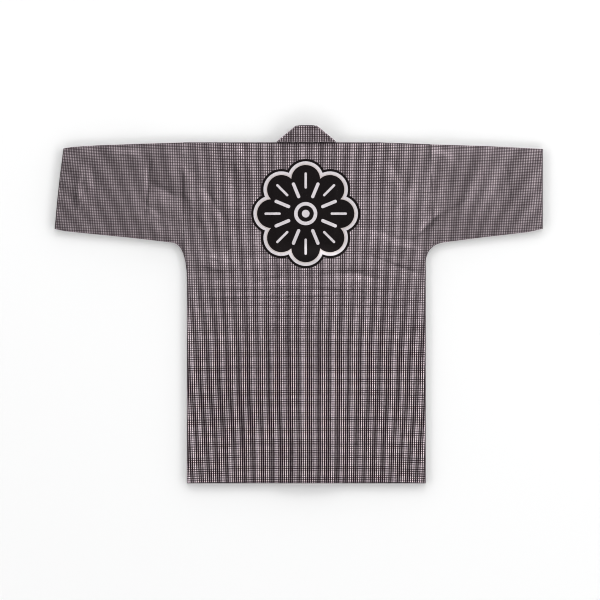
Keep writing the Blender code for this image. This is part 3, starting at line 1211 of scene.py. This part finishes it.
@dataclass(frozen=True)
class Stitches:
    """A run of machine stitches that lie on the cloth."""

    name: str
    length: float = 0.0026
    gap: float = 0.0010
    width: float = 0.00045
    height: float = 0.00030
    sides: int = 6
    rings: int = 4

    def sew(self, paths: Iterable[Array]) -> bpy.types.Object:
        """Make one piece of the stitches along some paths.

        Args:
            paths: For each run, its points as rows of x, y and z in the coat's own measure.

        Returns:
            The stitches as one object.
        """
        points, faces = self.bead()
        places = [place for path in paths for place in self.places(path + np.array((NECK_X, NECK_Y, 0.0)))]
        stitches = np.concatenate([points @ turn.T + middle for middle, turn in places])
        starts = range(0, len(stitches), len(points))
        corners = [[start + corner for corner in face] for start in starts for face in faces]
        mesh = bpy.data.meshes.new(self.name)
        mesh.from_pydata(stitches.tolist(), [], corners)
        mesh.shade_smooth()
        piece = linked(self.name, mesh)
        SewingThread().dress(piece)
        return piece

    def bead(self) -> tuple[Array, list[list[int]]]:
        """Points and faces of one stitch of half-length 1.

        Returns:
            The points, and the corners of each face, sorted so that each run gives the same order.
        """
        shape = bmesh.new()
        bmesh.ops.create_uvsphere(shape, u_segments=self.sides, v_segments=self.rings, radius=1.0)
        points = np.array([tuple(vert.co) for vert in shape.verts])
        faces = sorted([vert.index for vert in face.verts] for face in shape.faces)
        shape.free()
        return points, faces

    def places(self, path: Array) -> list[tuple[Array, Array]]:
        """Middle of each stitch on a run, and the turn and size that put it there.

        Args:
            path: Points of the run, as rows of x, y and z.

        Returns:
            For each stitch, its middle and a matrix.
        """
        steps = np.linalg.norm(np.diff(path, axis=0), axis=1)
        along = np.concatenate([[0.0], np.cumsum(steps)])
        pitch = self.length + self.gap
        found = []
        for number in range(int(along[-1] / pitch)):
            ends = (number * pitch, number * pitch + self.length)
            start, end = (Vector([np.interp(at, along, path[:, axis]) for axis in range(3)]) for at in ends)
            turn = (end - start).to_track_quat("X", "Z").to_matrix()
            size = Matrix.Diagonal((0.5 * (end - start).length, 0.5 * self.width, 0.5 * self.height))
            found.append((np.array((start + end) / 2), np.array(turn @ size)))
        return found


@dataclass(frozen=True)
class Garment:
    """What every cloth piece shares: its node, and how it rides on the root."""

    node: str

    def declare(
        self,
        piece: bpy.types.Object,
        flat: Pair,
        area: float,
        held: str,
        rests_on: Sequence[str],
        sewing: Sequence[bpy.types.Object] = (),
    ) -> None:
        """Attach a piece and its stitches to the root, hide the part that it replaces, and log its number of
        points.

        Args:
            piece: The piece of cloth.
            flat: Width and length of its cut; not used.
            area: Area of its cut; not used.
            held: How the cloth lies; not used.
            rests_on: Names of what it lies on; not used.
            sewing: The stitches in it.
        """
        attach(piece, "root")
        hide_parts(self.node)
        for thread in sewing:
            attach(thread, "root")
        LOG.info("%s: %d points", piece.name, len(piece.data.vertices))


@dataclass(frozen=True)
class Back(Garment):
    """The back panel, which carries the printed badge."""

    node: str = "back"
    spacing: float = 0.0040
    flat_width: float = 0.652
    flat_length: float = 0.886
    flat_area: float = 0.560

    def build(self) -> bpy.types.Object:
        """Mesh of the back, from shoulder to hem and side to side.

        Returns:
            The panel.
        """
        nominal = 2.0 * Body.HALF
        across = edged_steps(nominal, EDGE_PLACES, EDGE_PLACES, self.spacing)
        down = edged_steps(Body.LENGTH, EDGE_PLACES, HEM_PLACES, self.spacing)
        place, drop = np.meshgrid(across, down, indexing="ij")
        left, right = LEFT.body_reach(drop), RIGHT.body_reach(drop)
        from_left = fit_steps(place, nominal, left + right, EDGE_PLACES[-1])
        x = from_left - left
        level = drop.copy()
        slope = np.where(x < 0.0, LEFT.shoulder_slope(-x, drop), RIGHT.shoulder_slope(x, drop))
        drop = drop + slope
        z = RELIEF.upper(x, drop) + hem_rise(Body.LENGTH - level)
        side_gap = np.minimum(from_left, left + right - from_left)
        z -= rolled(side_gap, SEAM_DIP) + rolled(level, SEAM_DIP)
        # Worn edge and painted edge shade along both sides, the shoulder line and the hem.
        wear_and_shade = edge_wear_and_shade(np.minimum(np.minimum(side_gap, level), Body.LENGTH - level))
        return SheetMaker("back_panel").make((x, -drop, z), CHECK.at(x, drop), wear_and_shade)

    def hem_path(self) -> Array:
        """Run of the hem's stitches.

        Returns:
            Points as rows of x, y and z.
        """
        x = steps_between(-Body.HALF + STITCH_SPACING, Body.HALF - STITCH_SPACING, STITCH_SPACING)
        drop = np.full_like(x, Body.LENGTH - HEM_WIDTH + STITCH_INSET)
        z = RELIEF.upper(x, drop) + HEM_STEP + Cloth.SHELL / 2
        return np.stack([x, -drop, z], axis=1)

    def make(self) -> None:
        piece = self.build()
        PrintedBack().dress(piece)
        hem = Stitches("hem_stitches_back").sew([self.hem_path()])
        flat = (self.flat_width, self.flat_length)
        rests_on = ("front_left_panel", "front_right_panel", "collar_band")
        self.declare(piece, flat, self.flat_area, "laid", rests_on, [hem])


@dataclass(frozen=True)
class Front(Garment):
    """One front panel, flat under the back."""

    node: str
    side: SideCut
    spacing: float = 0.0045
    flat_width: float = 0.275
    flat_length: float = 0.886
    flat_area: float = 0.226
    edge_lift: float = 0.0001

    def build(self) -> bpy.types.Object:
        """Mesh of the front, from the collar seam to the side.

        Returns:
            The panel.
        """
        nominal = Body.HALF - Body.BAND_REACH
        across = edged_steps(nominal, EDGE_PLACES, EDGE_PLACES, self.spacing)
        down = edged_steps(Body.LENGTH, EDGE_PLACES, HEM_PLACES, self.spacing)
        place, level = np.meshgrid(across, down, indexing="ij")
        inner = band_reach(level) + Cloth.SEAM
        width = self.side.body_reach(level) - inner
        from_inner = fit_steps(place, nominal, width, EDGE_PLACES[-1])
        reach = inner + from_inner
        drop = level + self.side.shoulder_slope(reach, level)
        x = self.side.sign * reach
        from_seam = np.minimum(width - from_inner, level)
        z = RELIEF.lower(x, drop) + rolled(from_seam, self.edge_lift)
        # Worn edge and painted edge shade along the side, the shoulder line and the hem.
        wear_and_shade = edge_wear_and_shade(np.minimum(from_seam, Body.LENGTH - level))
        return SheetMaker(f"front_{self.side.word}_panel").make((x, -drop, z), CHECK.at(x, drop), wear_and_shade)

    def hem_path(self) -> Array:
        """Run of the hem's stitches, on the outer face, which is the lower one.

        Returns:
            Points as rows of x, y and z.
        """
        ends = (Body.BAND_REACH + STITCH_SPACING, Body.HALF - STITCH_SPACING)
        reach = steps_between(*ends, STITCH_SPACING)
        drop = np.full_like(reach, Body.LENGTH - HEM_WIDTH + STITCH_INSET)
        x = self.side.sign * reach
        return np.stack([x, -drop, RELIEF.lower(x, drop) - 0.5 * Cloth.SHELL], axis=1)

    def make(self) -> None:
        piece = self.build()
        CheckCotton(name=f"front_{self.side.word}_cotton").dress(piece)
        hem = Stitches(f"hem_stitches_{self.side.word}").sew([self.hem_path()])
        flat = (self.flat_width, self.flat_length)
        self.declare(piece, flat, self.flat_area, "laid", ("floor",), [hem])


@dataclass(frozen=True)
class Sleeve(Garment):
    """One sleeve, a flattened tube with a fold at the top and a seam under the arm."""

    node: str
    side: SideCut
    flat_size: Pair
    flat_area: float
    spacing: float = 0.0040
    turn_steps: int = 10
    seam_gap: float = 0.0006
    bow_power: int = 4
    stitch_ends: Pair = (0.01, 0.99)
    stitch_points: int = 60

    def stations(self) -> tuple[Array, Array]:
        """Reaches of the stations along the top edge and along the underside.

        Returns:
            The two rows of reaches, from the armhole to the cuff.
        """
        side = self.side
        curve_end = Body.HALF + side.curve_out
        top = (side.armhole_reach + Cloth.SEAM, curve_end, side.top_edge[-1].reach)
        under = (side.armhole_end()[0] + self.seam_gap, curve_end, side.under_edge[-1].reach)
        length = top[2] - top[0]
        places = edged_steps(length, EDGE_PLACES, HEM_PLACES, self.spacing) / length
        knee = (top[1] - top[0]) / length
        return np.interp(places, (0.0, knee, 1.0), top), np.interp(places, (0.0, knee, 1.0), under)

    def section(self, depth: float) -> tuple[Array, Array, Array]:
        """Steps once round a section, from the underarm seam over the upper layer and back below.

        Args:
            depth: Depth of the sleeve, which sets how many steps a layer has.

        Returns:
            Share of the depth, bulge at a turn, and level from 1 above to -1 below.
        """
        layer = np.linspace(1.0, 0.0, int(depth / self.spacing))
        turn = np.linspace(0.0, np.pi, self.turn_steps + 1)
        half = np.linspace(0.0, np.pi / 2, self.turn_steps // 2 + 1)
        shares = [np.ones(len(half) - 1), layer, np.zeros(len(turn) - 2), layer[::-1], np.ones(len(half) - 1)]
        bulges = [np.cos(half[:-1]), 0 * layer, -np.sin(turn[1:-1]), 0 * layer, np.sin(half[1:])]
        levels = [np.sin(half[:-1]), 0 * layer + 1, np.cos(turn[1:-1]), 0 * layer - 1, -np.cos(half[1:])]
        return np.concatenate(shares), np.concatenate(bulges), np.concatenate(levels)

    def build(self) -> bpy.types.Object:
        """Mesh of the sleeve.

        Returns:
            The sleeve.
        """
        side = self.side
        top, under = self.stations()
        top_drop, under_drop = side.edge_drop(side.top_edge, top), side.underside(under)
        depth = np.hypot(under - top, under_drop - top_drop)
        share, bulge, level = self.section(float(depth.mean()))
        middle = Cloth.TURN - Cloth.WALL / 2
        along = Cloth.TURN + share * (depth[:, None] - 2 * Cloth.TURN) + middle * bulge
        down_x, down_y = ((under - top) / depth)[:, None], ((under_drop - top_drop) / depth)[:, None]
        way = np.linspace(0.0, 1.0, len(top))[:, None]
        bow = side.cuff_bow * way ** self.bow_power * np.sin(np.pi * along / depth[:, None])
        reach, drop = top[:, None] + down_x * along + bow, top_drop[:, None] + down_y * along
        x = side.sign * reach
        upper, lower = RELIEF.upper(x, drop), RELIEF.lower(x, drop)
        from_cuff = (top[-1] - top)[:, None] + 0 * share
        from_seam = (top - top[0])[:, None] + 0 * share
        upper = upper + hem_rise(from_cuff) - rolled(from_seam, SEAM_DIP)
        above, below = np.maximum(level, 0.0), np.maximum(-level, 0.0)
        z = Cloth.TURN + above * (upper - Cloth.TURN) + below * (lower - Cloth.TURN)
        # Worn edge and painted edge shade along the cuff, the top fold and the underarm seam.
        wear_and_shade = np.maximum(edge_wear_and_shade(from_cuff), np.sqrt(1.0 - np.minimum(level * level, 1.0)))
        across, length = CHECK.at(x, drop)
        fold = CHECK.at(side.sign * top, top_drop)[1][:, None]
        flat = across, np.where(level >= 0.0, length, 2.0 * fold - length)
        return SheetMaker(f"sleeve_{side.word}_cloth").make((x, -drop, z), flat, wear_and_shade)

    def cuff_paths(self) -> list[Array]:
        """Runs of the cuff's stitches on the upper and the lower face.

        Returns:
            For each run, its points as rows of x, y and z.
        """
        side = self.side
        top, under = side.top_edge[-1], side.under_edge[-1]
        share = np.linspace(*self.stitch_ends, self.stitch_points)
        reach = mix(top.reach, under.reach, share) - HEM_WIDTH + STITCH_INSET
        reach = reach + side.cuff_bow * np.sin(np.pi * share)
        drop = mix(top.drop, under.drop, share)
        x = side.sign * reach
        upper = RELIEF.upper(x, drop) + HEM_STEP + Cloth.SHELL / 2
        lower = RELIEF.lower(x, drop) - 0.5 * Cloth.SHELL
        return [np.stack([x, -drop, z], axis=1) for z in (upper, lower)]

    def make(self) -> None:
        piece = self.build()
        CheckCotton(name=f"sleeve_{self.side.word}_cotton").dress(piece)
        cuff = Stitches(f"cuff_stitches_{self.side.word}").sew(self.cuff_paths())
        self.declare(piece, self.flat_size, self.flat_area, "folded", ("floor",), [cuff])


@dataclass(frozen=True)
class BandStation:
    """One cross-section of the collar band.

    It has the seam edge and the free edge, the way that the outer face looks, and how far the band
    has turned from a front, where it runs down, to the crown, where it runs sideways.
    """

    LENGTH_EASE = 0.885
    BAND_CUT = 0.106

    seam_edge: Vector
    free_edge: Vector
    facing: Vector
    turned: float

    def mirrored(self) -> "BandStation":
        """The same station on the other side of the coat."""
        flip = Vector((-1.0, 1.0, 1.0))
        return BandStation(self.seam_edge * flip, self.free_edge * flip, self.facing * flip, self.turned)

    def pattern(self, point: Vector, inner: bool) -> Pair:
        """Place on the flat band of a point of the station, along the band and across it.

        Args:
            point: A point of the station.
            inner: Whether it is on the inner layer.

        Returns:
            The place on the band.
        """
        sign = math.copysign(1.0, self.seam_edge.x)
        down = sign * (Body.NECK_REACH - point.y)
        width = float(band_reach(np.array(max(-point.y, 0.0)))) - abs(point.x)
        along, across = mix(down, point.x, self.turned), mix(width, point.y, self.turned)
        return self.LENGTH_EASE * along, self.BAND_CUT - across if inner else across


@dataclass(frozen=True)
class Collar(Garment):
    """The long doubled band that goes round the neck and down both fronts."""

    node: str = "collar"
    spacing: float = 0.0050
    turn_steps: int = 8
    crown_steps: int = 24
    across_steps: int = 14
    corner_share: float = 0.25
    stitch_inset: float = 0.0025
    # Shares of worn edge and painted shade at the seam edge, and where the band turns.
    seam_wear_and_shade: Pair = (0.8, 0.3)
    turn_wear_and_shade: float = 0.9
    flat_width: float = 0.105
    flat_length: float = 1.900

    def half_stations(self) -> list["BandStation"]:
        """Stations from the left hem to the left end of the crown.

        Returns:
            The stations in order.
        """
        low = Cloth.CLEAR + Cloth.BAND / 2
        high = Cloth.SEAM + Cloth.BAND * 1.5
        turn, centre = (high - low) / 2, (high + low) / 2
        seam_end = Vector((-Body.NECK_REACH, 0.0, 0.0))
        free_end = Vector((-Body.CROWN_REACH, Body.RISE - Body.CORNER_DROP, 0.0))
        run = (free_end - seam_end).normalized()
        out = Vector((-run.y, run.x, 0.0))
        half = []
        for drop in steps_between(0.0, Body.LENGTH, self.spacing)[:0:-1]:
            above = float(np.clip(1.0 - drop / Body.LAPEL_DROP, 0.0, 1.0))
            free_x = mix(Body.FREE_REACH, Body.CROWN_REACH, above ** Body.LAPEL_BEND)
            free_y = -drop + free_end.y * float(ease(np.array(above)))
            seam_edge = Vector((-float(band_reach(np.array(drop))), -drop, low))
            free_edge = Vector((-free_x, free_y, low))
            half.append(BandStation(seam_edge, free_edge, Vector((0.0, 0.0, -1.0)), 0.0))
        for step in range(self.turn_steps + 1):
            angle = math.pi * step / self.turn_steps
            shift = out * (turn * math.sin(angle))
            shift.z = centre - turn * math.cos(angle)
            facing = out * math.sin(angle) - Vector((0.0, 0.0, math.cos(angle)))
            half.append(BandStation(seam_end + shift, free_end + shift, facing, step / self.turn_steps))
        return half

    def stations(self) -> list["BandStation"]:
        """All stations from the left hem round the neck to the right hem.

        Returns:
            The stations in order.
        """
        half = self.half_stations()
        level = half[-1].seam_edge.z
        crown = []
        for step in range(1, self.crown_steps):
            share = step / self.crown_steps
            corner = min(1.0, min(share, 1.0 - share) / self.corner_share)
            rise = Body.RISE - Body.CORNER_DROP * (1.0 - corner) ** 2
            seam_edge = Vector((mix(-Body.NECK_REACH, Body.NECK_REACH, share), 0.0, level))
            free_edge = Vector((mix(-Body.CROWN_REACH, Body.CROWN_REACH, share), rise, level))
            crown.append(BandStation(seam_edge, free_edge, Vector((0.0, 0.0, 1.0)), 1.0))
        return half + crown + [station.mirrored() for station in reversed(half)]

    def build(self) -> bpy.types.Object:
        """Mesh of the band: the outer layer, the fold at the free edge, and the inner layer.

        Returns:
            The band.
        """
        thick = 0.5 * (Cloth.BAND - Cloth.SHELL)
        shares = np.linspace(0.0, 1.0, self.across_steps + 1)
        angles = np.linspace(0.0, math.pi, self.turn_steps + 1)[1:-1]
        points, flat, wear_and_shade = [], [], []
        for station in self.stations():
            seam_edge, facing = station.seam_edge, station.facing
            inward = (station.free_edge - seam_edge).normalized()
            stop = station.free_edge - inward * thick
            outer = [seam_edge.lerp(stop, share) + facing * thick for share in shares]
            fold = [stop + inward * (thick * math.sin(a)) + facing * (thick * math.cos(a)) for a in angles]
            inner = [seam_edge.lerp(stop, share) - facing * thick for share in shares[::-1]]
            points.append([tuple(point) for point in outer + fold + inner])
            pattern = [station.pattern(point, False) for point in outer + fold[: len(fold) // 2]]
            pattern += [station.pattern(point, True) for point in fold[len(fold) // 2 :] + inner]
            flat.append(pattern)
            # Worn edge and painted shade: full at the fold of the free edge, strong at the seam edge, and
            # where the band turns over at the neck.
            seam, face = list(self.seam_wear_and_shade), [0.0] * (len(shares) - 3)
            edge = seam + face + [1.0] * (len(fold) + 2) + face + seam[::-1]
            turned = self.turn_wear_and_shade * math.sin(math.pi * station.turned)
            wear_and_shade.append([max(value, turned) for value in edge])
        places, pattern = np.array(points), np.array(flat)
        parts = (places[..., 0], places[..., 1], places[..., 2])
        return SheetMaker("collar_band").make(parts, (pattern[..., 0], pattern[..., 1]), np.array(wear_and_shade))

    def stitch_paths(self) -> list[Array]:
        """Runs of the stitches that hold the band, near its seam edge on both faces.

        Returns:
            For each run, its points as rows of x, y and z.
        """
        above, below = [], []
        for station in self.stations():
            inward = (station.free_edge - station.seam_edge).normalized()
            at = station.seam_edge + inward * self.stitch_inset
            above.append(at + station.facing * (Cloth.BAND / 2))
            below.append(at - station.facing * (Cloth.BAND / 2))
        return [np.array([tuple(point) for point in run]) for run in (above, below)]

    def make(self) -> None:
        piece = self.build()
        CollarCotton().dress(piece)
        sewing = Stitches("collar_stitches").sew(self.stitch_paths())
        flat = (self.flat_width, self.flat_length)
        area = self.flat_width * self.flat_length
        rests_on = ("floor", "front_left_panel", "front_right_panel")
        self.declare(piece, flat, area, "folded", rests_on, [sewing])


@dataclass(frozen=True)
class Lamp:
    """A square soft light that faces the coat."""

    name: str
    place: tuple[float, float, float]
    size: float
    watts: float

    def hang(self) -> None:
        """Add the light to the scene."""
        lamp = bpy.data.lights.new(self.name, "AREA")
        lamp.shape = "SQUARE"
        lamp.size = self.size
        lamp.energy = self.watts
        stand = linked(self.name, lamp)
        stand.location = self.place
        stand.rotation_euler = (-Vector(self.place)).to_track_quat("-Z", "Y").to_euler()


@dataclass(frozen=True)
class Studio:
    """Pale floor, soft lights and the camera straight above."""

    floor_size: float = 60.0
    floor_steps: int = 8
    floor_roughness: float = 0.9
    floor_specular: float = 0.1
    camera_height: float = 4.0
    frame_width: float = 1.560
    aim: Pair = (0.0034, 0.0112)
    sensor: float = 36.0
    clip_end: float = 50.0
    sharp_filter: float = 1.0
    dome: float = 0.12
    band: float = 41.0
    band_lean: float = 0.16
    bright_side: Pair = (0.45, 0.89)
    band_from: float = 0.01
    band_rise: float = 0.01
    band_to: float = 0.14
    band_soft: float = 0.04
    lamps: tuple[Lamp, ...] = (
        Lamp("key_light", (0.8, 4.7, 1.40), 1.8, 90.0),
        Lamp("side_light", (4.2, 0.6, 1.6), 1.6, 20.0),
    )
    floor_colour: Colour = (0.95, 0.95, 0.95, 1.0)

    def floor(self) -> None:
        """Plain pale floor at the level that the coat lies on."""
        shape = bmesh.new()
        steps = self.floor_steps
        bmesh.ops.create_grid(shape, x_segments=steps, y_segments=steps, size=self.floor_size / 2)
        mesh = bpy.data.meshes.new("floor")
        shape.to_mesh(mesh)
        shape.free()
        floor = linked("floor", mesh)
        inputs = {
            "Base Color": self.floor_colour,
            "Roughness": self.floor_roughness,
            "Specular IOR Level": self.floor_specular,
        }
        ShaderTree(bpy.data.materials.new("pale_floor")).dress(floor, inputs)

    def camera(self) -> None:
        """Camera straight above, with the photo's frame."""
        lens = bpy.data.cameras.new("camera")
        lens.sensor_width = self.sensor
        lens.lens = self.sensor * self.camera_height / self.frame_width
        lens.clip_end = self.clip_end
        camera = linked("camera", lens)
        camera.location = (*self.aim, self.camera_height)
        bpy.context.scene.camera = camera

    def world(self) -> None:
        """White surroundings that are brighter in a band low down, all round."""
        world = bpy.data.worlds.new("studio")
        tree = ShaderTree(world, "Background")
        x, y, height = tree.place("Generated")
        band = height.under(self.band_to, self.band_soft) - height.under(self.band_from, self.band_rise)
        sided = 1.0 + self.band_lean * (self.bright_side[0] * x + self.bright_side[1] * y)
        tree.join(tree.shader.inputs["Strength"], self.dome + self.band * band.held() * sided)
        tree.shader.inputs["Color"].default_value = (1.0, 1.0, 1.0, 1.0)
        bpy.context.scene.world = world

    def make(self) -> None:
        """Set the whole studio up."""
        self.floor()
        self.world()
        self.camera()
        for lamp in self.lamps:
            lamp.hang()
        bpy.context.scene.view_settings.view_transform = "Standard"
        bpy.context.scene.cycles.filter_width = self.sharp_filter


def main() -> None:
    """Build the coat piece by piece, then the studio."""
    logging.basicConfig(level=logging.INFO, format="%(name)s %(message)s")
    Studio().make()
    Back().make()
    for side in SIDES:
        Front(node=f"front_{side.word}", side=side).make()
    Sleeve(node="sleeve_left", side=LEFT, flat_size=(0.335, 0.585), flat_area=0.163).make()
    Sleeve(node="sleeve_right", side=RIGHT, flat_size=(0.293, 0.535), flat_area=0.141).make()
    Collar().make()


if __name__ == "__main__":
    main()
